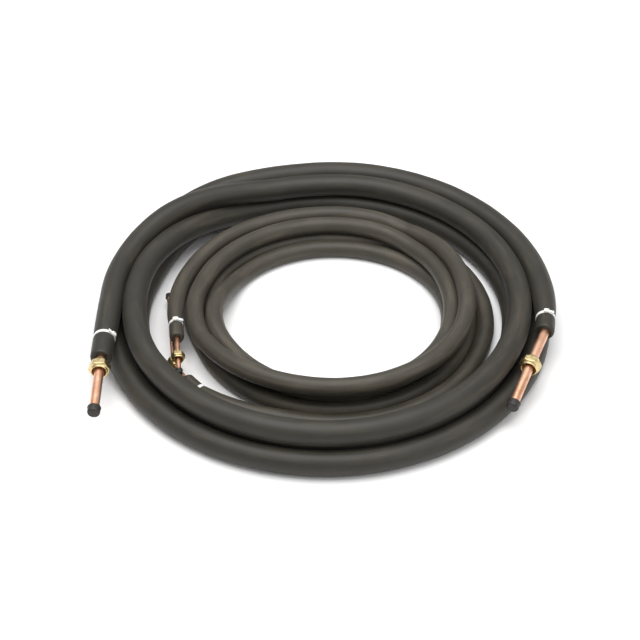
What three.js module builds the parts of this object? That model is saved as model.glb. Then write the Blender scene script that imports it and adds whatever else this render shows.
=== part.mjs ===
// Mini split line set: two lengths of insulated soft copper pipe, coiled and lying on a level floor.
// Millimetres, +Z up. The suction line is the wide coil, the liquid line the narrow coil inside it.
import * as THREE from 'three';

const rad = Math.PI / 180;
const clamp = (x) => Math.min(1, Math.max(0, x));
const ease = (x) => { const t = clamp(x); return t * t * (3 - 2 * t); };
const mix = (a, b, t) => a + (b - a) * t;

// Stock sizes: 1/2 in and 1/4 in soft copper with closed-cell foam sleeves.
const inch = 25.4;
const slip = 0.5;                                   // foam bore over pipe, per side
const suction = { tube: inch / 2, wall: 0.8, foam: 9.5, sides: 12, inner: 8 };
const liquid = { tube: inch / 4, wall: 0.76, foam: 8.5, sides: 10, inner: 6 };
for (const s of [suction, liquid]) {
  s.tubeR = s.tube / 2;
  s.boreR = s.tubeR + slip;
  s.foamR = s.boreR + s.foam;
  s.low = s.foamR * Math.cos(Math.PI / s.sides);    // height of a strand lying on the floor
}
suction.pitch = 2 * suction.foamR + 1.0;            // strand to strand in the wide coil
liquid.pitch = 2 * liquid.foamR + 0.7;              // strand to strand in the narrow coil

// Wide coil: a two by two bundle of strands, each turn taking the next corner of the bundle
// (upper outer, upper inner, lower inner, lower outer, upper outer) in a crossing at the back left.
const ring = 283;                                   // mean radius of the bundle
const crossFrom = 170, crossSpan = 66;              // degrees, going clockwise seen from above
const leftEnd = 205, rightEnd = -16 - 3 * 360;      // where the foam ends, degrees unwrapped
const leftBare = 14, rightBare = 27;                // bare pipe past the foam, degrees
const rightAim = 6.8;                               // the right end's straight run, turned inward
const leftAim = 0.25;                               // the left end's drift inward, per degree
function wideAt(angle) {
  const deg = Math.max(angle, rightEnd);            // past the right foam end the pipe runs straight
  let turned = 0;
  for (let j = 0; j < 4; j++) turned += 90 * ease((crossFrom - 360 * j - deg) / crossSpan);
  const phase = (45 + turned) * rad;
  const part = (turned % 90) * rad;
  const flat = ((deg % 360) + 360) % 360;
  const crossing = deg > 100 ? 1 : ease((flat - 72) / 28) * (1 - ease((flat - 175) / 35));
  const front = Math.max(0, -Math.sin(flat * rad));
  const lean = (5 + 7 * front * front) * (1 - crossing);
  const p = suction.pitch;
  const up = 0.5 + Math.sin(phase) * Math.SQRT1_2;
  let r = ring + p * Math.SQRT1_2 * Math.cos(phase) + lean * up;
  let z = suction.low + Math.sqrt(p * p - lean * lean) * up
    + p * (Math.sin(Math.PI / 4 + part) * Math.SQRT1_2 - 0.5);
  if (deg > 180) r /= Math.cos((deg - 180) * rad);  // the left end runs straight forward
  r -= leftAim * Math.max(0, deg - leftEnd);
  const past = 8 - (deg + 3 * 360);                 // the right end opens out a little
  if (past > 0) r += 0.6 * suction.pitch * Math.pow(past / 52, 2);
  if (angle < rightEnd) r *= Math.cos(rightAim * rad) / Math.cos((angle - rightEnd + rightAim) * rad);
  const tip = Math.max(0, angle - leftEnd, rightEnd - angle);
  z -= 0.012 * tip * tip;                           // bare ends hang a little
  return new THREE.Vector3(r * Math.cos(angle * rad), r * Math.sin(angle * rad), z);
}

// Narrow coil: three strands on the floor, one on those and one on top. Going counterclockwise it
// winds inward along the floor, climbs over its innermost strand at the left and winds outward.
const narrow = { x: 10, y: -10 };                    // its centre, seen from the wide coil's
const nest = 0.86;                                  // rise, in pitches, of a strand lying between two
const outerLow = 214;
const slipFrom = 140, slipSpan = 65;
const endB = -146, endA = 198 + 4 * 360;            // foam ends, degrees unwrapped
const straightA = 187 + 4 * 360;                     // from here the upper end runs straight forward
const bulge = (deg) => {
  let d = (((deg - 33) % 360) + 540) % 360 - 180;
  return Math.abs(d) < 60 ? Math.pow(Math.cos(d * 1.5 * rad), 2) : 0;
};
const seat = (deg) => {
  let q = 0;
  for (let j = 0; j < 4; j++) q += ease((deg - slipFrom - 360 * j) / slipSpan);
  return q;
};
const flareB = 0.97;                                // the lower end opens out by this many pitches
const lowR = (q, deg) => outerLow - liquid.pitch * q + 0.2 * liquid.pitch * bulge(deg)
  + (deg < 90 ? flareB * liquid.pitch * (1 - ease((deg - endB) / 45)) : 0);
// The bare lower end: beside the wide coil first, then straight back.
const bareB = (deg) => mix(outerLow + flareB * liquid.pitch,
  (outerLow + (flareB - 0.4) * liquid.pitch) / Math.cos((deg + 172.7) * rad), ease((-151 - deg) / 10));
// Top strands: distance out from the innermost floor strand, in pitches, against the angle.
const topWay = [[925, 0.2], [990, 0.5], [1080, 0.16], [1170, 1.05], [1260, 1.2], [1350, 1.05],
  [1440, 0.95], [1530, 2.15], [1580, 2.3], [straightA, 2.28], [1700, 2.28]];
function topOut(deg) {
  if (deg <= topWay[0][0]) return topWay[0][1];
  let i = 0;
  while (i < topWay.length - 2 && deg > topWay[i + 1][0]) i++;
  const [a, ga] = topWay[i], [b, gb] = topWay[i + 1];
  return mix(ga, gb, ease((deg - a) / (b - a)));
}
function narrowAt(deg) {
  const p = liquid.pitch;
  const q = seat(deg);
  let r, z = liquid.low;
  if (q <= 2) {
    r = deg < endB ? bareB(deg) : lowR(q, deg);
    z += 3.6 * (1 - ease((deg - endB) / 40));        // the tied end lifts its tie off the floor
  } else {
    const f = Math.min(1, q - 2);
    const inner = outerLow - 2 * p;
    const near = lowR(q - 1, deg - 360);
    const climb = near + p * Math.cos((180 - 120 * f) * rad) + f * f * p * (topOut(deg) - 0.5);
    r = q < 3 ? climb : inner + p * topOut(deg);
    if (deg > straightA) r /= Math.cos((deg - straightA) * rad);
    let held = 0;
    for (let k = 1; k <= 4; k++) {
      const d = deg - 360 * k;
      if (d < endB || seat(d) > 2) continue;
      const off = r - lowR(seat(d), d);
      if (Math.abs(off) < p) held = Math.max(held, Math.sqrt(p * p - off * off));
    }
    if (deg - 360 > topWay[0][0]) {                   // the last turn also rides on the turn before it
      const under = narrowAt(deg - 360);
      const off = r - Math.hypot(under.x - narrow.x, under.y - narrow.y);
      if (Math.abs(off) < p) held = Math.max(held, under.z - liquid.low + Math.sqrt(p * p - off * off));
      held = Math.max(held, nest * p);
    }
    z += held;
  }
  if (deg > endA) z = mix(z, liquid.low + 1.06 * p, ease((deg - endA) / 8));
  return new THREE.Vector3(narrow.x + r * Math.cos(deg * rad), narrow.y + r * Math.sin(deg * rad), z);
}

// A lay is a run of stations; between stations the pipe is straight, and sections stay upright.
class Lay extends THREE.Curve {
  constructor(at, stops) { super(); this.at = at; this.stops = stops; }
  degAt(t) {
    const s = clamp(t) * (this.stops.length - 1);
    const i = Math.min(this.stops.length - 2, Math.floor(s));
    return mix(this.stops[i], this.stops[i + 1], s - i);
  }
  getPoint(t, out = new THREE.Vector3()) { return out.copy(this.at(this.degAt(t))); }
  getUtoTmapping(u) { return u; }
  axes(deg) {
    const step = 0.5 * Math.sign(this.stops[1] - this.stops[0]);
    const t = this.at(deg + step).sub(this.at(deg - step)).normalize();
    const n = new THREE.Vector3(0, 0, 1).addScaledVector(t, -t.z).normalize();
    return { t, n, b: new THREE.Vector3().crossVectors(t, n) };
  }
  computeFrenetFrames(segments) {
    const out = { tangents: [], normals: [], binormals: [] };
    for (let i = 0; i <= segments; i++) {
      const f = this.axes(this.degAt(i / segments));
      out.tangents.push(f.t); out.normals.push(f.n); out.binormals.push(f.b);
    }
    return out;
  }
  // Frame at a distance along the straight run between two stations, for pieces threaded on it.
  onRun(i, share) {
    const a = this.at(this.stops[i]), b = this.at(this.stops[i + 1]);
    const t = b.clone().sub(a).normalize();
    const n = new THREE.Vector3(0, 0, 1).addScaledVector(t, -t.z).normalize();
    const m = new THREE.Matrix4().makeBasis(n, new THREE.Vector3().crossVectors(t, n), t);
    return m.setPosition(a.lerp(b, share));
  }
  runLength(i) { return this.at(this.stops[i]).distanceTo(this.at(this.stops[i + 1])); }
}

function polygon(target, radius, sides) {
  for (let i = 0; i < sides; i++) {
    const a = (i + 0.5) * 2 * Math.PI / sides;
    const x = radius * Math.cos(a), y = radius * Math.sin(a);
    if (i === 0) target.moveTo(x, y); else target.lineTo(x, y);
  }
  target.closePath();
  return target;
}
function pipe(lay, outer, outerSides, inner, innerSides) {
  const shape = polygon(new THREE.Shape(), outer, outerSides);
  shape.holes.push(polygon(new THREE.Path(), inner, innerSides));
  return new THREE.ExtrudeGeometry(shape, { steps: lay.stops.length - 1, extrudePath: lay, curveSegments: 1 });
}

// Turned or hexagonal pieces: rings of points joined in order; a ring of radius 0 is a centre point.
function turned(rings, sides, closed) {
  const pos = [], index = [], start = [];
  for (const [z, r, hex] of rings) {
    start.push(pos.length / 3);
    const n = r === 0 ? 1 : sides;
    for (let i = 0; i < n; i++) {
      const a = i * 2 * Math.PI / sides;
      const out = hex && i % (sides / 6) !== 0 ? r * Math.cos(Math.PI / 6) : r;
      pos.push(out * Math.cos(a), out * Math.sin(a), z);
    }
  }
  const count = closed ? rings.length : rings.length - 1;
  for (let k = 0; k < count; k++) {
    const m = (k + 1) % rings.length, a = start[k], b = start[m];
    for (let i = 0; i < sides; i++) {
      const j = (i + 1) % sides;
      if (rings[k][1] === 0) index.push(a, b + j, b + i);
      else if (rings[m][1] === 0) index.push(a + i, a + j, b);
      else index.push(a + i, a + j, b + j, a + i, b + j, b + i);
    }
  }
  const g = new THREE.BufferGeometry();
  g.setAttribute('position', new THREE.Float32BufferAttribute(pos, 3));
  g.setIndex(index);
  g.computeVertexNormals();
  return g;
}
const fit = 0.35;                                    // running clearance of nuts, caps and ties
function flareNut(tubeR, corner, length, mouthR) {
  const bore = tubeR + fit, neck = bore + 0.34 * (corner - bore), hexEnd = 0.66 * length;
  return turned([[0, corner, true], [hexEnd, corner, true], [0.72 * length, neck + 1.2], [length, neck],
    [length, bore], [0.5 * length, bore], [0.38 * length, mouthR], [0, mouthR]], 12, true);
}
const capWall = (tubeR) => 0.22 * tubeR + 0.2;
function endCap(tubeR, length) {
  const wall = capWall(tubeR), bore = tubeR + fit, skin = bore + wall;
  return turned([[length, 0], [length, 0.82 * skin], [0.88 * length, skin], [0, skin], [0, bore],
    [length - wall, bore], [length - wall, 0]].reverse(), 12, false);
}
const band = { width: 4.8, clear: 0.3, thick: 1.3, headHalf: 2.9, headRise: 3.6 };
function tie(foamR, sides) {
  const inner = foamR + band.clear, outer = inner + band.thick, half = band.headHalf;
  const head = outer + band.headRise;
  const shape = new THREE.Shape(), round = 12, gap = Math.asin(half / outer);
  shape.moveTo(head, -half); shape.lineTo(head, half);
  for (let i = 0; i <= round; i++) {
    const a = gap + (2 * Math.PI - 2 * gap) * i / round;
    const far = i === 0 || i === round ? outer : outer / Math.cos(Math.PI / 16);
    shape.lineTo(far * Math.cos(a), far * Math.sin(a));
  }
  shape.closePath();
  const hole = new THREE.Path();
  polygon(hole, inner, sides);
  shape.holes.push(hole);
  const g = new THREE.ExtrudeGeometry(shape, { depth: band.width, bevelEnabled: false, curveSegments: 1 });
  g.translate(0, 0, -band.width / 2);
  return g;
}

const look = {
  foam: { color: 0x2b2a29, roughness: 0.85 },
  copper: { color: 0xc77f5b, roughness: 0.3, metalness: 1 },
  brass: { color: 0xc2a45c, roughness: 0.32, metalness: 1 },
  cap: { color: 0x161514, roughness: 0.6 },
  nylon: { color: 0xe9e8e2, roughness: 0.45 },
};
const root = new THREE.Group();
root.name = 'mini_split_line_set';
function add(name, geometry, kind, matrix) {
  if (matrix) geometry.applyMatrix4(matrix);
  const mesh = new THREE.Mesh(geometry, new THREE.MeshStandardMaterial(look[kind]));
  mesh.name = name;
  mesh.material.name = kind;
  root.add(mesh);
}
function stations(from, to, step, before, after) {
  const way = Math.sign(to - from), list = [];
  for (let d = from; way * (to - d) > 0.4 * step; d += way * step) list.push(d);
  return [...before, ...list, to, ...after];
}

// Suction line
const wideStops = stations(leftEnd, rightEnd, 15, [], []);
const wideBefore = [leftEnd + leftBare, leftEnd + leftBare / 2];
const wideAfter = [0.3, 0.63, 0.85, 1].map((share) => rightEnd - share * rightBare);
const wideFoam = new Lay(wideAt, wideStops);
const widePipe = new Lay(wideAt, [...wideBefore, ...wideStops, ...wideAfter]);
add('suction_insulation', pipe(wideFoam, suction.foamR, suction.sides, suction.boreR, suction.inner), 'foam');
add('suction_copper_tube', pipe(widePipe, suction.tubeR, suction.inner, suction.tubeR - suction.wall, suction.inner), 'copper');
// Liquid line
const narrowStops = stations(endB, endA, 15, [], []);
const bareLow = 45.5, bareHigh = 17.5;               // bare pipe past the foam, degrees
const narrowBefore = [1, 0.64, 0.286, 0.132].map((share) => endB - share * bareLow);
const narrowAfter = [0.343, 0.8, 1].map((share) => endA + share * bareHigh);
const narrowFoam = new Lay(narrowAt, narrowStops);
const narrowPipe = new Lay(narrowAt, [...narrowBefore, ...narrowStops, ...narrowAfter]);
add('liquid_insulation', pipe(narrowFoam, liquid.foamR, liquid.sides, liquid.boreR, liquid.inner), 'foam');
add('liquid_copper_tube', pipe(narrowPipe, liquid.tubeR, liquid.inner, liquid.tubeR - liquid.wall, liquid.inner), 'copper');

// Pieces threaded on the ends. "toStart" turns a piece to face the start of its lay.
const flip = new THREE.Matrix4().makeRotationX(Math.PI);
const spin = (deg) => new THREE.Matrix4().makeRotationZ(deg * rad);
function place(lay, i, share, toStart, turn) {
  const m = lay.onRun(i, share);
  if (toStart) m.multiply(flip);
  return m.multiply(spin(turn));
}
const nutL = { length: 20, corner: 15, mouth: 9.6 };
const nutS = { length: 15, corner: 9.8, mouth: 5.6 };
const capL = 12, capS = 9;
const nutGap = 16, tieLeft = 42, tieIn = 30;         // nut and ties, from the foam's end
function nutOn(name, lay, i, share, toStart, spec, s) {
  const g = flareNut(s.tubeR, spec.corner, spec.length, spec.mouth);
  // the mouth (z = 0 of the nut) faces the free end, the neck faces the foam
  g.translate(0, 0, -spec.length / 2);
  add(name, g, 'brass', place(lay, i, share, !toStart, 15));
}
const lastWide = widePipe.stops.length - 1, lastNarrow = narrowPipe.stops.length - 1;
nutOn('suction_flare_nut_left', widePipe, 1, 1 - (spacing(widePipe, 1, nutGap)), true, nutL, suction);
nutOn('suction_flare_nut_right', widePipe, lastWide - 3, 0.5, false, nutL, suction);
nutOn('liquid_flare_nut_b', narrowPipe, 2, 0.5, true, nutS, liquid);
nutOn('liquid_flare_nut_a', narrowPipe, lastNarrow - 2, 0.5, false, nutS, liquid);
function spacing(lay, i, mm) { return mm / lay.runLength(i); }

function capOn(name, lay, atStart, length, s) {
  const g = endCap(s.tubeR, length);
  const wall = capWall(s.tubeR), i = atStart ? 0 : lay.stops.length - 2;
  g.translate(0, 0, -(length - wall - 0.4));
  add(name, g, 'cap', place(lay, i, atStart ? 0 : 1, atStart, 0));
}
capOn('suction_cap_left', widePipe, true, capL, suction);
capOn('suction_cap_right', widePipe, false, capL, suction);
capOn('liquid_cap_b', narrowPipe, true, capS, liquid);
capOn('liquid_cap_a', narrowPipe, false, capS, liquid);

function tieOn(name, lay, i, share, turn, s) {
  const m = lay.onRun(i, share);
  add(name, tie(s.foamR, s.sides), 'nylon', m.multiply(spin(turn)));
}
const wf = wideFoam.stops.length, nf = narrowFoam.stops.length;
tieOn('suction_tie_left', wideFoam, 0, spacing(wideFoam, 0, tieLeft), 60, suction);
tieOn('suction_tie_right', wideFoam, wf - 2, 1 - spacing(wideFoam, wf - 2, tieIn), -30, suction);
tieOn('liquid_tie_b', narrowFoam, 0, spacing(narrowFoam, 0, tieIn), 0, liquid);
tieOn('liquid_tie_a', narrowFoam, nf - 2, 1 - spacing(narrowFoam, nf - 2, tieIn), 0, liquid);

// Rest on the floor with the middle of the footprint at the origin.
root.updateMatrixWorld(true);
const box = new THREE.Box3().setFromObject(root, true);
const mid = box.getCenter(new THREE.Vector3());
for (const mesh of root.children) mesh.geometry.translate(-mid.x, -mid.y, -box.min.z);
export default root;
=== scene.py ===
"""Mini split line set: two insulated copper pipes, coiled and lying on a level floor."""
import math

import bpy
import numpy as np
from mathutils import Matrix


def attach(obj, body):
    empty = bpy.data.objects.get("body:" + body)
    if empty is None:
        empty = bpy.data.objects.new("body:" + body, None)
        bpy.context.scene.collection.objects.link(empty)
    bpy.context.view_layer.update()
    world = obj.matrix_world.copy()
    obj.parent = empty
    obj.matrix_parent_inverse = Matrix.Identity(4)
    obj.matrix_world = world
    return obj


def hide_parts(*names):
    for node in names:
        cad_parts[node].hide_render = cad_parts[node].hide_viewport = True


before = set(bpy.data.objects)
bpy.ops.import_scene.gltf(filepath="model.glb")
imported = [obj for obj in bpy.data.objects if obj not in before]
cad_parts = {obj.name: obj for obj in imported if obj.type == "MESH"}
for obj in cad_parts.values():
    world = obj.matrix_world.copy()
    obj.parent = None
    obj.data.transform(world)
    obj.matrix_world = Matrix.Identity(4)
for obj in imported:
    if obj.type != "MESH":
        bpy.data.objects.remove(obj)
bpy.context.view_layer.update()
MM = 0.001

# Camera: it looks down on the coils from the front, and a pixel of its square picture
# covers 1.43 mm at the middle of the wide coil.
ELEVATION = math.radians(40)
DISTANCE = 2000 * MM
PICTURE_PX = 640
PIXEL = 1.43 * MM
COIL_AXIS = np.array([-1.316, -1.403]) * MM      # where the wide coil's axis stands in the frame
LOOK_LEFT = 8 * MM                               # the picture's middle is this far left of that axis

eye = bpy.data.cameras.new("photo_camera")
eye.lens = eye.sensor_width * DISTANCE / (PIXEL * PICTURE_PX)
eye.clip_end = 50
camera = bpy.data.objects.new("photo_camera", eye)
camera.location = (
    COIL_AXIS[0] - LOOK_LEFT,
    COIL_AXIS[1] - DISTANCE * math.cos(ELEVATION),
    DISTANCE * math.sin(ELEVATION),
)
camera.rotation_euler = (math.pi / 2 - ELEVATION, 0, 0)
bpy.context.collection.objects.link(camera)
bpy.context.scene.camera = camera

# Studio: a white sweep of floor under a white sky, one broad soft light overhead
# and a weaker one at the front right, so that shadows are pale and soft.
FLOOR_SIZE = 30.0
FLOOR_WHITE = 0.86
SKY_STRENGTH = 0.62
KEY_WATTS, KEY_SIZE, KEY_FROM = 68, 2.2, (-0.2, 0.0, 2.4)
FILL_WATTS, FILL_SIZE, FILL_FROM = 10, 1.4, (1.5, -1.2, 1.6)


class Signal:
    """A shader socket that can stand in Python sums; each sum adds one Math node."""

    def __init__(self, socket):
        self.socket = socket

    @staticmethod
    def node(tree, kind, settings=(), sockets=()):
        """Add a node: its settings first, then the value or link of each named socket."""
        made = tree.nodes.new(kind)
        for name, value in dict(settings).items():
            if name == "stops":
                ramp = made.color_ramp.elements
                while len(ramp) < len(value):
                    ramp.new(0.5)
                for stop, (place, colour) in zip(ramp, value):
                    stop.position = place
                    stop.color = (*colour, 1)
            else:
                setattr(made, name, value)
        for name, value in dict(sockets).items():
            if isinstance(value, Signal):
                tree.links.new(value.socket, made.inputs[name])
            else:
                made.inputs[name].default_value = value
        return made

    def sum(self, operation, other):
        pair = {0: self, 1: other}
        made = Signal.node(self.socket.id_data, "ShaderNodeMath", {"operation": operation}, pair)
        return Signal(made.outputs[0])

    def __add__(self, other):
        return self.sum("ADD", other)

    def __mul__(self, other):
        return self.sum("MULTIPLY", other)

    def __sub__(self, other):
        return self.sum("SUBTRACT", other)

    __radd__ = __add__
    __rmul__ = __mul__


def new_finish(name, **plain):
    """A material with one Principled shader; plain values go straight on its sockets."""
    finish = bpy.data.materials.new(name)
    finish.use_nodes = True
    shader = finish.node_tree.nodes["Principled BSDF"]
    for socket, value in plain.items():
        shader.inputs[socket.replace("_", " ")].default_value = value
    return finish, finish.node_tree, shader


def soft_light(name, watts, size, place):
    """A square area light at a place, turned to face the frame's origin."""
    lamp = bpy.data.lights.new(name, "AREA")
    lamp.energy = watts
    lamp.size = size
    holder = bpy.data.objects.new(name, lamp)
    holder.location = place
    x, y, z = place
    holder.rotation_euler = (math.atan2(math.hypot(x, y), z), 0, math.atan2(y, x) + math.pi / 2)
    bpy.context.collection.objects.link(holder)


def mesh_piece(name, points, faces, finish, smooth=True):
    """Put arrays of points (in metres) and quads or triangles into an object at the origin."""
    mesh = bpy.data.meshes.new(name)
    mesh.from_pydata(points.tolist(), [], faces)
    mesh.polygons.foreach_set("use_smooth", np.full(len(mesh.polygons), smooth))
    mesh.materials.append(finish)
    mesh.update()
    piece = bpy.data.objects.new(name, mesh)
    bpy.context.collection.objects.link(piece)
    return piece


sky = bpy.data.worlds.new("white_sky")
sky.use_nodes = True
sky.node_tree.nodes["Background"].inputs["Color"].default_value = (1, 1, 1, 1)
sky.node_tree.nodes["Background"].inputs["Strength"].default_value = SKY_STRENGTH
bpy.context.scene.world = sky
bpy.context.scene.view_settings.view_transform = "Standard"
soft_light("key_light", KEY_WATTS, KEY_SIZE, KEY_FROM)
soft_light("fill_light", FILL_WATTS, FILL_SIZE, FILL_FROM)

floor_finish, floor_tree, floor_shader = new_finish("pale_floor", Roughness=0.7)
floor_shader.inputs["Base Color"].default_value = (FLOOR_WHITE, FLOOR_WHITE, FLOOR_WHITE, 1)
half = FLOOR_SIZE / 2
corners = np.array([[-half, -half, 0], [half, -half, 0], [half, half, 0], [-half, half, 0]])
mesh_piece("floor", corners, [[0, 1, 2, 3]], floor_finish, smooth=False)

# Suction line, foam sleeve: a closed-cell rubber foam tube, slid over the whole wide coil and
# left a little short at both ends. It lies in 3.6 turns that take the corners of a two by two
# bundle in turn, and the cable ties pinch it near its ends.
SUCTION_TUBE = 12.7 * MM
SUCTION_FOAM = 9.5 * MM
SLIP = 0.5 * MM                                  # foam bore over pipe, per side
STRAND_GAP = 1.0 * MM
SUCTION_R = SUCTION_TUBE / 2 + SLIP + SUCTION_FOAM
SUCTION_SIDES = 12                               # sides of the solid's section, which set its rest height
BUNDLE_R = 283 * MM
CROSS_FROM, CROSS_SPAN = 170, 66                 # degrees, where each quarter twist starts and its run
LEFT_END, RIGHT_END = 205, -16 - 3 * 360         # foam ends
LEFT_TIP, RIGHT_TIP = LEFT_END + 14, RIGHT_END - 27
LEFT_DRIFT, RIGHT_AIM = 0.25 * MM, 6.8           # how the straight bare ends turn inward
FOAM_SWELL = 0.35 * MM                           # turns press against each other
ROW_STEP = 5 * MM
BORE_STEP = 25 * MM
AROUND = 40


def ease(x):
    """Smooth step: 0 up to 0, 1 from 1 on, 3t squared less 2t cubed between."""
    t = np.clip(x, 0, 1)
    return t * t * (3 - 2 * t)


def wide_route(deg):
    """Centre line of the wide coil: a point on a turning square bundle carried round the coil's
    axis. The bundle turns a quarter each time round, is lifted by its own corner while it turns,
    and its upper strands lean outward elsewhere."""
    pitch = 2 * SUCTION_R + STRAND_GAP
    low = SUCTION_R * math.cos(math.pi / SUCTION_SIDES)
    angle, deg = deg, np.maximum(deg, RIGHT_END)
    turned = 90 * sum(ease((CROSS_FROM - 360 * turn - deg) / CROSS_SPAN) for turn in range(4))
    phase = np.radians(45 + turned)
    part = np.radians(turned % 90)
    flat = deg % 360
    crossing = np.where(deg > 100, 1, ease((flat - 72) / 28) * (1 - ease((flat - 175) / 35)))
    front = np.maximum(0, -np.sin(np.radians(flat)))
    lean = (5 + 7 * front**2) * MM * (1 - crossing)
    up = 0.5 + np.sin(phase) * math.sqrt(0.5)
    r = BUNDLE_R + pitch * math.sqrt(0.5) * np.cos(phase) + lean * up
    z = low + np.sqrt(pitch**2 - lean**2) * up
    z = z + pitch * (np.sin(math.pi / 4 + part) * math.sqrt(0.5) - 0.5)
    r = np.where(deg > 180, r / np.cos(np.radians(np.maximum(deg, 180) - 180)), r)
    r = r - LEFT_DRIFT * np.maximum(0, deg - LEFT_END)
    past = np.maximum(0, 8 - (deg + 3 * 360))
    r = r + 0.6 * pitch * (past / 52) ** 2
    aim = math.radians(RIGHT_AIM)
    beyond = np.radians(np.minimum(angle - RIGHT_END, 0))
    r = r * math.cos(aim) / np.cos(beyond + aim)
    tip = np.maximum(0, np.maximum(angle - LEFT_END, RIGHT_END - angle))
    z = z - 0.012 * MM * tip**2
    turn = np.radians(angle)
    return np.stack([COIL_AXIS[0] + r * np.cos(turn), COIL_AXIS[1] + r * np.sin(turn), z], 1)


class Lay:
    """A route measured along its length: points, and an upright frame at any distance."""

    def __init__(self, route, start, end, blur=0.0):
        self.deg = np.linspace(start, end, 9000)
        self.points = route(self.deg)
        if blur:
            width = int(blur / abs(self.deg[1] - self.deg[0]))
            bell = np.exp(-np.linspace(-2, 2, 2 * width + 1) ** 2)
            spread = np.pad(self.points, ((width, width), (0, 0)), mode="reflect", reflect_type="odd")
            self.points = np.stack(
                [np.convolve(spread[:, k], bell / bell.sum(), mode="valid") for k in range(3)], 1
            )
        run = np.linalg.norm(np.diff(self.points, axis=0), axis=1)
        self.along = np.concatenate([[0], np.cumsum(run)])
        self.length = self.along[-1]
        heading = np.gradient(self.points, axis=0)
        self.heading = heading / np.linalg.norm(heading, axis=1, keepdims=True)

    def distance(self, deg):
        order = np.argsort(self.deg)
        return float(np.interp(deg, self.deg[order], self.along[order]))

    def at(self, distance):
        """Point, heading, up and side at each distance, by straight interpolation; past either
        end the route runs on straight."""
        distance = np.atleast_1d(distance)
        inside = np.clip(distance, 0, self.length)
        point, heading = (
            np.stack([np.interp(inside, self.along, values[:, k]) for k in range(3)], 1)
            for values in (self.points, self.heading)
        )
        heading /= np.linalg.norm(heading, axis=1, keepdims=True)
        point = point + heading * (distance - inside)[:, None]
        up = np.array([0, 0, 1]) - heading * heading[:, 2:3]
        up /= np.linalg.norm(up, axis=1, keepdims=True)
        return point, heading, up, np.cross(heading, up)


def rings_to_points(lay, distance, radius, angle):
    """Carry rings along a route: each ring stands square to the route at its own distance, and
    its points lie at the given radii (rows by columns) and angles from straight up."""
    point, _, up, side = lay.at(distance)
    upward = np.cos(angle)[None, :, None] * up[:, None]
    sideways = np.sin(angle)[None, :, None] * side[:, None]
    return (point[:, None] + radius[..., None] * (upward + sideways)).reshape(-1, 3)


def ring_faces(rows, columns, closed):
    """Quads between neighbouring rings; closed joins the last ring to the first."""
    row = np.arange(rows if closed else rows - 1)[:, None]
    column = np.arange(columns)[None, :]
    after, beside = (row + 1) % rows, (column + 1) % columns
    here, there = row * columns, after * columns
    quads = np.stack([here + column, here + beside, there + beside, there + column], -1)
    return quads.reshape(-1, 4).tolist()


def note_lie(piece, distance, radius, angle):
    """Store where each point lies on the straightened piece: along, and across in two directions."""
    across = radius[..., None] * np.stack([np.cos(angle), np.sin(angle)], 1)[None]
    along = np.broadcast_to(np.asarray(distance)[:, None, None], across.shape[:2] + (1,))
    values = np.concatenate([along, across], 2).astype(np.float32).ravel()
    layer = piece.data.attributes.new("lie", "FLOAT_VECTOR", "POINT")
    layer.data.foreach_set("vector", values)


def sleeve_swell(distance, angle, wave):
    """Slow swells of a hand-bent foam tube: three sines of the distance and the angle."""
    s, a = distance[:, None] / wave, angle[None, :]
    return 0.5 * np.sin(2.1 * s + 2 * a) + 0.3 * np.sin(5.3 * s - a + 1) + 0.2 * np.sin(11.7 * s + 3 * a + 2)


def sleeve_radius(sleeve, distance):
    """Outer radius along a sleeve: it slims toward both tied ends and has a narrow groove with
    soft shoulders at each tie."""
    start, end, foam_r, ties, pinch, slim = sleeve
    radius = np.full_like(distance, foam_r + FOAM_SWELL)
    for edge, depth in ((start, slim[0]), (end, slim[1])):
        radius = radius - depth * np.exp(-((np.abs(distance - edge) / (52 * MM)) ** 2))
    for tie in ties:
        radius = radius - pinch * np.exp(-(((distance - tie) / (3.4 * MM)) ** 2))
        radius = radius - 0.45 * pinch * np.exp(-(((distance - tie) / (12 * MM)) ** 2))
    return radius


def foam_sleeve(name, lay, sleeve, tube_r, swell_seed, finish):
    """A foam tube with a bore: outside rings, a rounded cut edge, the bore, and back. The outside
    narrows toward each tied end, is pinched in a narrow groove at each tie, and rests flat on
    the floor."""
    angle = np.linspace(0, 2 * math.pi, AROUND, endpoint=False)
    start, end, _, ties, _, _ = sleeve
    bore_r = tube_r + SLIP
    edge = np.array([0.2, 0.8, 1.8, 3.2]) * MM
    groove = [tie + offset * MM for tie in ties for offset in (-6, -4, -3, -2, -1, 0, 1, 2, 3, 4, 6)]
    outside = np.unique(np.concatenate([
        start + edge, np.arange(start + 6 * MM, end - 6 * MM, ROW_STEP), end - edge, groove]))
    from_end = np.minimum(outside - start, end - outside)
    rounding = 1.6 * MM * np.clip(1 - from_end / (3.2 * MM), 0, 1) ** 2
    radius = (sleeve_radius(sleeve, outside) - rounding)[:, None] + 0.22 * MM * sleeve_swell(
        outside + swell_seed, angle, 60 * MM)
    bore = np.arange(end - 3 * MM, start + 3 * MM, -BORE_STEP)
    inside = np.concatenate([[end - 0.4 * MM], bore, [start + 0.4 * MM]])
    face_share = np.array([0.3, 0.7])
    end_face = radius[-1] * (1 - face_share[:, None]) + bore_r * face_share[:, None]
    start_face = bore_r * (1 - face_share[:, None]) + radius[0] * face_share[:, None]
    distance = np.concatenate([
        outside, [end + 0.1 * MM, end - 0.1 * MM], inside, [start + 0.1 * MM, start - 0.1 * MM]])
    radii = np.concatenate([radius, end_face, np.full((len(inside), AROUND), bore_r), start_face])
    points = rings_to_points(lay, distance, radii, angle)
    points[:, 2] = np.maximum(points[:, 2], 0.02 * MM)
    piece = mesh_piece(name, points, ring_faces(len(distance), AROUND, True), finish)
    note_lie(piece, distance, radii, angle)
    return piece


def lie_of(tree):
    """The stored place of each point on its straightened piece."""
    return Signal(Signal.node(tree, "ShaderNodeAttribute", {"attribute_name": "lie"}).outputs["Vector"])


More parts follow.
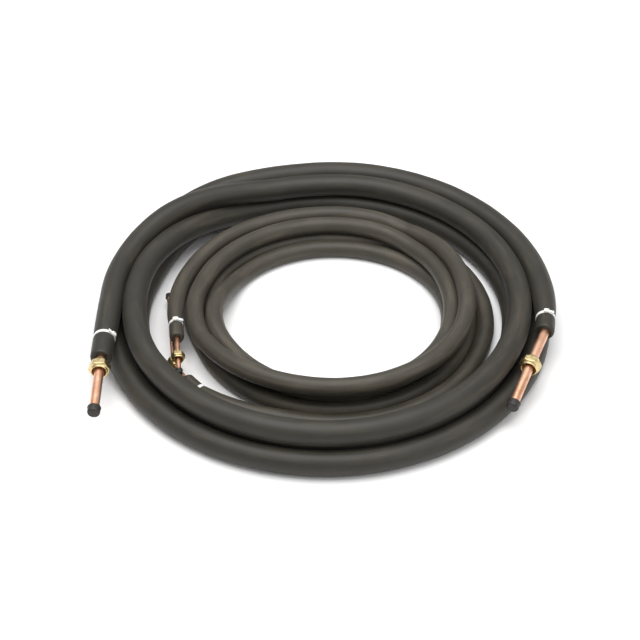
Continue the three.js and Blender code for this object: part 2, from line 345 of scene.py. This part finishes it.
def stretched(tree, vector, scale):
    """The same place with its axes scaled, which draws a pattern out along the smallest."""
    return Signal(Signal.node(tree, "ShaderNodeMapping", (), {"Vector": vector, "Scale": scale}).outputs[0])


def noise(tree, vector, scale, detail):
    """Cloudy noise of the given fineness."""
    return Signal(Signal.node(tree, "ShaderNodeTexNoise", (), {
        "Vector": vector, "Scale": scale, "Detail": detail, "Roughness": 0.6}).outputs["Fac"])


FOAM_DARK = (0.012, 0.012, 0.011)
FOAM_PALE = (0.030, 0.028, 0.023)
FOAM_DUST = (0.070, 0.062, 0.050)


def foam_finish(name, warm):
    """Rubber foam skin: dark grey with slow mottling, a dusty bloom in long faint streaks, and a
    fine pored grain. Patterns read the straightened piece, so they follow the tube."""
    finish, tree, shader = new_finish(
        name, Specular_IOR_Level=0.4, Sheen_Weight=0.04, Sheen_Roughness=0.4)
    lie = lie_of(tree)
    long_lie = stretched(tree, lie, (0.12, 1, 1))

    def blend(share, first, second):
        made = Signal.node(tree, "ShaderNodeMix", {"data_type": "RGBA"}, {
            "Factor": share, 6: first if isinstance(first, Signal) else (*first, 1), 7: (*second, 1)})
        return Signal(made.outputs[2])

    def tinted(colour):
        return tuple(c * w for c, w in zip(colour, warm))

    mottle = noise(tree, lie, 22, 3)
    streak = noise(tree, long_lie, 90, 4)
    grain = noise(tree, lie, 900, 4)
    pores = noise(tree, lie, 3600, 2)
    dust = Signal(Signal.node(tree, "ShaderNodeMapRange", (), {
        "Value": streak, "From Min": 0.5, "From Max": 0.78}).outputs[0])
    base = blend(mottle, tinted(FOAM_DARK), tinted(FOAM_PALE))
    base = blend(dust * 0.5 + grain * 0.12 - 0.04, base, tinted(FOAM_DUST))
    rough = 0.44 + 0.14 * grain + 0.08 * dust
    relief = Signal.node(tree, "ShaderNodeBump", (), {
        "Height": grain * 0.6 + pores * 0.4, "Strength": 0.32, "Distance": 0.35 * MM})
    tree.links.new(base.socket, shader.inputs["Base Color"])
    tree.links.new(rough.socket, shader.inputs["Roughness"])
    tree.links.new(relief.outputs[0], shader.inputs["Normal"])
    return finish


def settle(piece, slot, *nodes):
    """Let a piece stand for its solids, and carry it on the one body. Its slot is not used."""
    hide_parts(*nodes)
    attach(piece, "root")


wide = Lay(wide_route, LEFT_TIP, RIGHT_TIP)
wide_start, wide_end = wide.distance(LEFT_END), wide.distance(RIGHT_END)
SUCTION_TIES = (wide_start + 42 * MM, wide_end - 30 * MM)
suction_sleeve = (wide_start, wide_end, SUCTION_R, SUCTION_TIES, 1.1 * MM, (2.4 * MM, 3.6 * MM))
wide_foam_finish = foam_finish("wide_foam_skin", (1.08, 1.0, 0.86))
wide_sleeve = foam_sleeve(
    "suction_foam_sleeve", wide, suction_sleeve, SUCTION_TUBE / 2, 0.0, wide_foam_finish)
settle(wide_sleeve, "foam", "suction_insulation")

# Suction line, pipe: one length of 1/2 in soft copper, bare for a hand's width past the foam.
# It is bright drawn copper, browned a little where it was handled and where the nuts slide.
PIPE_WALL = 0.8 * MM
PIPE_AROUND = 48
PIPE_ROW_STEP = 6 * MM
COPPER_BRIGHT = (0.93, 0.57, 0.40)
COPPER_DEEP = (0.66, 0.33, 0.19)
COPPER_BROWN = (0.33, 0.17, 0.09)


def copper_pipe(name, lay, tube_r, wall, finish):
    """A drawn pipe: outside rings, a rounded cut end, the bore back, and a rounded cut end."""
    angle = np.linspace(0, 2 * math.pi, PIPE_AROUND, endpoint=False)
    end = lay.length
    trim = 0.25 * MM
    outside = np.concatenate([[trim], np.arange(PIPE_ROW_STEP, end - trim, PIPE_ROW_STEP), [end - trim]])
    inside = np.concatenate([[end - trim], np.arange(end - 4 * MM, 4 * MM, -BORE_STEP), [trim]])
    distance = np.concatenate([outside, [end], inside, [0]])
    cut = [tube_r - wall / 2]
    bore = np.full(len(inside), tube_r - wall)
    radius = np.concatenate([np.full(len(outside), tube_r), cut, bore, cut])
    radii = np.broadcast_to(radius[:, None], (len(radius), PIPE_AROUND))
    points = rings_to_points(lay, distance, radii, angle)
    piece = mesh_piece(name, points, ring_faces(len(distance), PIPE_AROUND, True), finish)
    note_lie(piece, distance, radii, angle)
    return piece


def copper_finish(name):
    """Drawn copper: bright and deep tones in long streaks, brown spots, and fine draw lines."""
    finish, tree, shader = new_finish(name, Metallic=1.0)
    lie = lie_of(tree)
    drawn = stretched(tree, lie, (0.05, 1, 1))

    streak = noise(tree, drawn, 420, 3)
    lines = noise(tree, drawn, 2600, 2)
    cloud = noise(tree, lie, 60, 3)
    tone = Signal.node(tree, "ShaderNodeValToRGB", {
        "stops": [(0.36, COPPER_DEEP), (0.58, COPPER_BRIGHT)]}, {"Fac": streak * 0.4 + cloud * 0.6})
    spots = Signal(Signal.node(tree, "ShaderNodeMapRange", (), {
        "Value": noise(tree, lie, 140, 4), "From Min": 0.58, "From Max": 0.75}).outputs[0])
    base = Signal.node(tree, "ShaderNodeMix", {"data_type": "RGBA"}, {
        "Factor": spots * 0.45, 6: Signal(tone.outputs[0]), 7: (*COPPER_BROWN, 1)})
    rough = 0.34 + 0.14 * cloud + 0.1 * spots
    relief = Signal.node(tree, "ShaderNodeBump", (), {
        "Height": lines, "Strength": 0.15, "Distance": 0.1 * MM})
    tree.links.new(base.outputs[2], shader.inputs["Base Color"])
    tree.links.new(rough.socket, shader.inputs["Roughness"])
    tree.links.new(relief.outputs[0], shader.inputs["Normal"])
    return finish


copper = copper_finish("drawn_copper")
wide_pipe = copper_pipe("suction_pipe", wide, SUCTION_TUBE / 2, PIPE_WALL, copper)
settle(wide_pipe, "copper", "suction_copper_tube")

# Liquid line, foam sleeve and pipe: the same make in 1/4 in pipe with a thinner foam, five turns.
# Going counterclockwise it winds inward along the floor, climbs over itself at the left and
# winds outward on top; both its ends lie at the left.
LIQUID_TUBE = 6.35 * MM
LIQUID_WALL = 0.76 * MM
LIQUID_FOAM = 8.5 * MM
LIQUID_GAP = 0.7 * MM
LIQUID_R = LIQUID_TUBE / 2 + SLIP + LIQUID_FOAM
LIQUID_SIDES = 10
NARROW_AXIS = COIL_AXIS + np.array([10, -10]) * MM
OUTER_LOW = 214 * MM
SLIP_FROM, SLIP_SPAN = 140, 65
END_B, END_A = -146, 198 + 4 * 360
STRAIGHT_A = 187 + 4 * 360
TIP_B, TIP_A = -191.5, END_A + 17.5
TOP_DEG = (925, 990, 1080, 1170, 1260, 1350, 1440, 1530, 1580, STRAIGHT_A)
TOP_OUT = (0.2, 0.5, 0.16, 1.05, 1.2, 1.05, 0.95, 2.15, 2.3, 2.28)


def narrow_route(deg):
    """Centre line of the narrow coil. Floor turns step inward one pitch each time round; the
    climb swings over the innermost floor strand; top turns follow a list of distances out from
    it, and their height is whatever the floor strands under them hold."""
    pitch = 2 * LIQUID_R + LIQUID_GAP
    low = LIQUID_R * math.cos(math.pi / LIQUID_SIDES)
    flare = 0.97 * pitch

    def seat(d):
        return sum(ease((d - SLIP_FROM - 360 * turn) / SLIP_SPAN) for turn in range(4))

    def floor_r(q, d):
        off = (d - 33 + 540) % 360 - 180
        bulge = np.where(np.abs(off) < 60, np.cos(np.radians(np.clip(off, -60, 60) * 1.5)) ** 2, 0)
        opened = np.where(d < 90, flare * (1 - ease((d - END_B) / 45)), 0)
        return OUTER_LOW - pitch * q + 0.2 * pitch * bulge + opened

    q = seat(deg)
    innermost = OUTER_LOW - 2 * pitch
    out = np.full_like(deg, TOP_OUT[0])
    for a, b, near, far in zip(TOP_DEG, TOP_DEG[1:], TOP_OUT, TOP_OUT[1:]):
        out = np.where(deg > a, near + (far - near) * ease((deg - a) / (b - a)), out)
    on_floor = floor_r(q, deg)
    straight_b = (OUTER_LOW + flare - 0.4 * pitch) / np.cos(np.radians(np.clip(deg, -195, -140) + 172.7))
    bare_b = OUTER_LOW + flare + (straight_b - OUTER_LOW - flare) * ease((-151 - deg) / 10)
    on_floor = np.where(deg < END_B, bare_b, on_floor)
    climb_share = np.clip(q - 2, 0, 1)
    climb = (floor_r(q - 1, deg - 360) + pitch * np.cos(np.radians(180 - 120 * climb_share))
             + climb_share**2 * pitch * (out - 0.5))
    on_top = innermost + pitch * out
    on_top = on_top / np.cos(np.radians(np.maximum(0, deg - STRAIGHT_A)))
    r = np.where(q <= 2, on_floor, np.where(q < 3, climb, on_top))
    held = np.zeros_like(deg)
    for turn in range(1, 5):
        under = deg - 360 * turn
        off = r - floor_r(seat(under), under)
        there = (under >= END_B) & (seat(under) <= 2) & (np.abs(off) < pitch)
        held = np.maximum(held, np.where(there, np.sqrt(np.maximum(pitch**2 - off**2, 0)), 0))
    last = deg > TOP_DEG[0] + 360
    if last.any():
        under = narrow_route(deg[last] - 360)
        off = r[last] - np.linalg.norm(under[:, :2] - NARROW_AXIS, axis=1)
        ride = under[:, 2] - low + np.sqrt(np.maximum(pitch**2 - off**2, 0))
        held[last] = np.maximum(held[last], np.where(np.abs(off) < pitch, ride, 0.86 * pitch))
        held[last] = np.maximum(held[last], 0.86 * pitch)
    tied_end = 3.6 * MM * (1 - ease((deg - END_B) / 40))
    z = low + np.where(q <= 2, tied_end, held)
    z = np.where(deg > END_A, z + (low + 1.06 * pitch - z) * ease((deg - END_A) / 8), z)
    turn = np.radians(deg)
    return np.stack([NARROW_AXIS[0] + r * np.cos(turn), NARROW_AXIS[1] + r * np.sin(turn), z], 1)


narrow = Lay(narrow_route, TIP_B, TIP_A, blur=5.0)
narrow_start, narrow_end = narrow.distance(END_B), narrow.distance(END_A)
LIQUID_TIES = (narrow_start + 30 * MM, narrow_end - 30 * MM)
liquid_sleeve = (narrow_start, narrow_end, LIQUID_R, LIQUID_TIES, 1.2 * MM, (2.6 * MM, 2.6 * MM))
narrow_foam_finish = foam_finish("narrow_foam_skin", (1.9, 1.75, 1.5))
narrow_sleeve = foam_sleeve(
    "liquid_foam_sleeve", narrow, liquid_sleeve, LIQUID_TUBE / 2, 3.0, narrow_foam_finish)
settle(narrow_sleeve, "foam", "liquid_insulation")
narrow_pipe = copper_pipe("liquid_pipe", narrow, LIQUID_TUBE / 2, LIQUID_WALL, copper)
settle(narrow_pipe, "copper", "liquid_copper_tube")

# Flare nuts: turned from hexagonal brass bar, bored to slide on the pipe, threaded inside the
# mouth that faces the free end, and waisted to a round neck at the foam side.
NUT_AROUND = 96
NUT_FIT = 0.35 * MM
SUCTION_NUT = {
    "pipe": SUCTION_TUBE / 2, "length": 20 * MM, "corner": 15 * MM, "mouth": 9.6 * MM, "thread": 1.6 * MM}
LIQUID_NUT = {
    "pipe": LIQUID_TUBE / 2, "length": 15 * MM, "corner": 9.8 * MM, "mouth": 5.6 * MM, "thread": 1.3 * MM}


def flare_nut(name, lay, middle, toward_start, size, finish):
    """A closed profile turned about the pipe. Outside, the radius is the smaller of a hexagon
    and a chamfer cone, behind a low round collar; inside the mouth it follows a helical thread.
    Its z runs from the mouth to the neck, and the mouth faces the free end."""
    angle = np.linspace(0, 2 * math.pi, NUT_AROUND, endpoint=False)
    length, corner, mouth, lead = size["length"], size["corner"], size["mouth"], size["thread"]
    bore = size["pipe"] + NUT_FIT
    neck = bore + 0.34 * (corner - bore)
    collar, hex_end, depth = 0.17 * length, 0.68 * length, 0.42 * length
    flat = corner * math.cos(math.pi / 6)
    hexagon = flat / np.cos((angle + math.pi / 6) % (math.pi / 3) - math.pi / 6)
    hexagon = hexagon - 0.25 * MM * ((hexagon - flat) / (corner - flat)) ** 6

    def outside(z):
        rise = np.minimum(z - collar, hex_end - z)
        cone = np.where(rise < 0, 0.86 * flat, flat * 0.95 + rise * 1.9)
        return np.minimum(hexagon[None], cone[:, None])

    z_hex = np.concatenate([
        [0.4 * MM, collar - 0.1 * MM, collar],
        collar + np.linspace(0.2 * MM, 2.2 * MM, 7),
        np.linspace(collar + 3 * MM, hex_end - 3 * MM, 5),
        np.linspace(hex_end - 2.2 * MM, hex_end, 9)])
    bend = np.linspace(0, 1, 7)
    z_neck = hex_end + (length - hex_end) * bend
    r_neck = neck + (0.93 * flat - neck) * (1 - ease(bend * 1.7)) - 0.5 * MM * (bend > 0.99)
    z_bore = np.array([length, 0.6 * length, depth + 0.8 * MM])
    r_bore = np.array([bore + 0.25 * MM, bore, bore])
    z_thread = np.linspace(depth, 0.9 * MM, 60)
    saw = np.abs(((z_thread[:, None] / lead - angle[None] / (2 * math.pi)) % 1) - 0.5)
    fade = np.clip((z_thread - 0.9 * MM) / MM, 0, 1) * np.clip((depth - z_thread) / MM, 0, 1)
    r_thread = mouth + 0.9 * MM * (0.25 - saw) * fade[:, None]
    whole = np.ones(NUT_AROUND)
    z = np.concatenate([z_hex, z_neck, z_bore, z_thread, [0.3 * MM, 0]])
    r = np.concatenate([outside(z_hex), r_neck[:, None] * whole, r_bore[:, None] * whole, r_thread,
                        [(mouth + 0.3 * MM) * whole, (mouth + 0.8 * MM) * whole]])
    distance = middle + (z - length / 2) * (1 if toward_start else -1)
    points = rings_to_points(lay, distance, r, angle)
    faces = ring_faces(len(z), NUT_AROUND, True)
    if not toward_start:
        faces = [face[::-1] for face in faces]
    piece = mesh_piece(name, points, faces, finish)
    note_lie(piece, z, r, angle)
    return piece


BRASS_PALE = (0.80, 0.66, 0.36)
BRASS_DEEP = (0.52, 0.37, 0.15)


def brass_finish(name):
    """Turned brass: pale and deep tones in soft clouds, turning rings, and small handling marks."""
    finish, tree, shader = new_finish(name, Metallic=1.0)
    lie = lie_of(tree)
    turned = stretched(tree, lie, (1, 0.06, 0.06))

    cloud = noise(tree, lie, 240, 3)
    rings = noise(tree, turned, 5200, 2)
    tone = Signal.node(tree, "ShaderNodeValToRGB", {
        "stops": [(0.34, BRASS_DEEP), (0.56, BRASS_PALE)]}, {"Fac": cloud * 0.8 + rings * 0.2})
    rough = 0.24 + 0.16 * cloud
    relief = Signal.node(tree, "ShaderNodeBump", (), {
        "Height": rings * 0.6 + noise(tree, lie, 1500, 3) * 0.4, "Strength": 0.2, "Distance": 0.12 * MM})
    tree.links.new(tone.outputs[0], shader.inputs["Base Color"])
    tree.links.new(rough.socket, shader.inputs["Roughness"])
    tree.links.new(relief.outputs[0], shader.inputs["Normal"])
    return finish


brass = brass_finish("turned_brass")
NUTS = (
    ("suction_nut_left", wide, wide_start - 16 * MM, True, SUCTION_NUT, "suction_flare_nut_left"),
    ("suction_nut_right", wide, wide.distance(RIGHT_END - 12.5), False, SUCTION_NUT,
     "suction_flare_nut_right"),
    ("liquid_nut_b", narrow, narrow.distance(-155.5), True, LIQUID_NUT, "liquid_flare_nut_b"),
    ("liquid_nut_a", narrow, narrow.distance(END_A + 10), False, LIQUID_NUT, "liquid_flare_nut_a"),
)
for name, lay, middle, toward_start, size, node in NUTS:
    settle(flare_nut(name, lay, middle, toward_start, size, brass), "brass", node)

# End caps: moulded black caps pushed over the pipe ends to keep them dry, with a thick rolled
# rim and a rounded blind end.
CAP_AROUND = 48
CAP_FIT = 0.1 * MM


def end_cap(name, lay, at_start, tube_r, length, finish):
    """A cup turned about the pipe's end: blind end with a rounded shoulder, skirt that widens a
    little to a rolled rim, and the inside wall back to the pipe's end."""
    angle = np.linspace(0, 2 * math.pi, CAP_AROUND, endpoint=False)
    wall = 0.22 * tube_r + 0.2 * MM
    bore, skin = tube_r + CAP_FIT, tube_r + 0.35 * MM + wall
    curve = np.linspace(0, math.pi / 2, 8)
    corner = 0.34 * skin
    z_end = wall - corner * (1 - np.sin(curve))      # past the pipe's end
    r_end = skin - corner + corner * np.cos(curve)
    z_skirt = np.linspace(z_end[0], wall - length + 1.6 * MM, 6)
    r_skirt = skin + 0.25 * MM * ease((z_skirt[0] - z_skirt) / length)
    roll = np.linspace(0, math.pi, 9)
    z_rim = wall - length + 0.8 * MM + 0.8 * MM * np.cos(roll)
    r_rim = (bore + skin) / 2 + 0.3 * MM + ((skin - bore) / 2 + 0.35 * MM) * np.cos(roll * 0.98)
    z_in = np.array([wall - length + 2.4 * MM, 0.25 * MM, 0.3 * MM])
    r_in = np.array([bore, bore, 0.01 * MM])
    z = np.concatenate([[wall], z_end[::-1], z_skirt[1:], z_rim, z_in])
    r = np.concatenate([[0.01 * MM], r_end[::-1], r_skirt[1:], np.maximum(r_rim, bore), r_in])
    distance = -z if at_start else lay.length + z
    radii = np.broadcast_to(r[:, None], (len(r), CAP_AROUND))
    points = rings_to_points(lay, distance, radii, angle)
    faces = ring_faces(len(z), CAP_AROUND, False)
    faces.append(list(range(CAP_AROUND))[::-1])
    faces.append(list(range((len(z) - 1) * CAP_AROUND, len(z) * CAP_AROUND)))
    if not at_start:
        faces = [face[::-1] for face in faces]
    piece = mesh_piece(name, points, faces, finish)
    note_lie(piece, z, radii, angle)
    return piece


def cap_finish(name):
    """Moulded black rubber: near black, a dull gloss, dusty and slightly pebbled."""
    finish, tree, shader = new_finish(name, Specular_IOR_Level=0.45)
    lie = lie_of(tree)
    cloud = Signal(Signal.node(tree, "ShaderNodeTexNoise", (), {
        "Vector": lie, "Scale": 420, "Detail": 4}).outputs["Fac"])
    tone = Signal.node(tree, "ShaderNodeValToRGB", {
        "stops": [(0.4, (0.010, 0.009, 0.008)), (0.66, (0.036, 0.032, 0.027))]}, {"Fac": cloud})
    rough = 0.42 + 0.2 * cloud
    relief = Signal.node(tree, "ShaderNodeBump", (), {
        "Height": cloud, "Strength": 0.3, "Distance": 0.2 * MM})
    tree.links.new(tone.outputs[0], shader.inputs["Base Color"])
    tree.links.new(rough.socket, shader.inputs["Roughness"])
    tree.links.new(relief.outputs[0], shader.inputs["Normal"])
    return finish


black_rubber = cap_finish("moulded_black_rubber")
CAPS = (
    ("suction_end_cap_left", wide, True, SUCTION_TUBE / 2, 12 * MM, "suction_cap_left"),
    ("suction_end_cap_right", wide, False, SUCTION_TUBE / 2, 12 * MM, "suction_cap_right"),
    ("liquid_end_cap_b", narrow, True, LIQUID_TUBE / 2, 9 * MM, "liquid_cap_b"),
    ("liquid_end_cap_a", narrow, False, LIQUID_TUBE / 2, 9 * MM, "liquid_cap_a"),
)
for name, lay, at_start, tube_r, length, node in CAPS:
    settle(end_cap(name, lay, at_start, tube_r, length, black_rubber), "cap", node)

# Cable ties: white nylon, each a toothed band drawn tight round the foam, with its locking head
# and the cut stub of its tail.
TIE_WIDTH = 4.8 * MM
TIE_THICK = 1.3 * MM
HEAD_SIZE = (3.6 * MM, 6.2 * MM, 5.8 * MM)       # outward, along the route, round the band


def cable_tie(name, lay, middle, ring_r, head_deg, finish):
    """Band: a rounded strip section carried round a circle. Head: a squared-off ellipsoid with a
    slot pressed in, standing on the band, and a tail stub that leaves it along the band."""
    point, heading, up, side = (value[0] for value in lay.at(middle))
    turn = np.linspace(0, 2 * math.pi, 96, endpoint=False)
    section = np.linspace(0, 2 * math.pi, 16, endpoint=False)
    strip_x = 0.5 * TIE_WIDTH * np.sign(np.cos(section)) * np.abs(np.cos(section)) ** 0.45
    strip_r = 0.5 * TIE_THICK * np.sign(np.sin(section)) * np.abs(np.sin(section)) ** 0.55
    radius = ring_r + 0.5 * TIE_THICK + strip_r

    def around(values_turn, values_radius, values_along):
        out = np.cos(values_turn)[..., None] * up + np.sin(values_turn)[..., None] * side
        return point + values_radius[..., None] * out + values_along[..., None] * heading

    shape = (len(turn), len(section))
    band = around(
        np.broadcast_to(turn[:, None], shape),
        np.broadcast_to(radius, shape),
        np.broadcast_to(strip_x, shape))
    band_faces = ring_faces(len(turn), len(section), True)
    head_turn = math.radians(head_deg)
    lat = np.linspace(-math.pi / 2, math.pi / 2, 20)[:, None]
    lon = np.linspace(0, 2 * math.pi, 32, endpoint=False)[None, :]

    def square(value):
        return np.sign(value) * np.abs(value) ** 0.35

    depth, length, width = HEAD_SIZE
    rise = square(np.sin(lat)) * np.ones_like(lon)
    across = square(np.cos(lat)) * square(np.cos(lon))
    aside = square(np.cos(lat)) * square(np.sin(lon))
    slot = 0.9 * MM * np.exp(-((across / 0.55) ** 6 + (aside / 0.3) ** 6)) * (rise > 0)
    head_r = ring_r + TIE_THICK * 0.4 + depth / 2 + rise * depth / 2 - slot
    head = around(head_turn + aside * width / 2 / ring_r, head_r, across * length / 2)
    head_faces = ring_faces(lat.size, lon.size, False)
    tail_share = np.linspace(0, 1, 8)
    tail_turn = head_turn - (width / 2 + tail_share * 7 * MM - 1.5 * MM) / ring_r
    tail_r = ring_r + TIE_THICK * 1.35 + 2.2 * MM * tail_share**1.5
    tail_shape = (len(tail_turn), len(section))
    tail = around(np.broadcast_to(tail_turn[:, None], tail_shape),
                  tail_r[:, None] + 0.8 * strip_r[None], np.broadcast_to(0.92 * strip_x, tail_shape))
    tail_faces = ring_faces(len(tail_turn), len(section), False)
    tail_faces.append(list(range(len(section)))[::-1])
    tail_faces.append(list(range((len(tail_turn) - 1) * len(section), len(tail_turn) * len(section))))
    points, faces, count = [], [], 0
    for grid, grid_faces in ((band, band_faces), (head, head_faces), (tail, tail_faces)):
        points.append(grid.reshape(-1, 3))
        faces += [[index + count for index in face] for face in grid_faces]
        count += len(points[-1])
    return mesh_piece(name, np.concatenate(points), faces, finish)


def nylon_finish(name):
    """Natural nylon: slightly milky white, faintly glossy, with a fine moulded grain."""
    finish, tree, shader = new_finish(name, Subsurface_Weight=0.12, Subsurface_Scale=0.002)
    place = Signal(Signal.node(tree, "ShaderNodeTexCoord").outputs["Object"])
    cloud = Signal(Signal.node(tree, "ShaderNodeTexNoise", (), {
        "Vector": place, "Scale": 500, "Detail": 3}).outputs["Fac"])
    tone = Signal.node(tree, "ShaderNodeValToRGB", {
        "stops": [(0.3, (0.72, 0.71, 0.67)), (0.7, (0.88, 0.88, 0.85))]}, {"Fac": cloud})
    rough = 0.3 + 0.15 * cloud
    relief = Signal.node(tree, "ShaderNodeBump", (), {
        "Height": cloud, "Strength": 0.15, "Distance": 0.1 * MM})
    tree.links.new(tone.outputs[0], shader.inputs["Base Color"])
    tree.links.new(rough.socket, shader.inputs["Roughness"])
    tree.links.new(relief.outputs[0], shader.inputs["Normal"])
    return finish


nylon = nylon_finish("white_nylon")
TIES = (
    ("suction_band_left", wide, suction_sleeve, 0, 60, "suction_tie_left"),
    ("suction_band_right", wide, suction_sleeve, 1, 0, "suction_tie_right"),
    ("liquid_band_b", narrow, liquid_sleeve, 0, 150, "liquid_tie_b"),
    ("liquid_band_a", narrow, liquid_sleeve, 1, 0, "liquid_tie_a"),
)
for name, lay, sleeve, end, head_deg, node in TIES:
    middle = sleeve[3][end]
    ring_r = float(sleeve_radius(sleeve, np.array([middle]))[0]) - 0.1 * MM
    settle(cable_tie(name, lay, middle, ring_r, head_deg, nylon), "nylon", node)
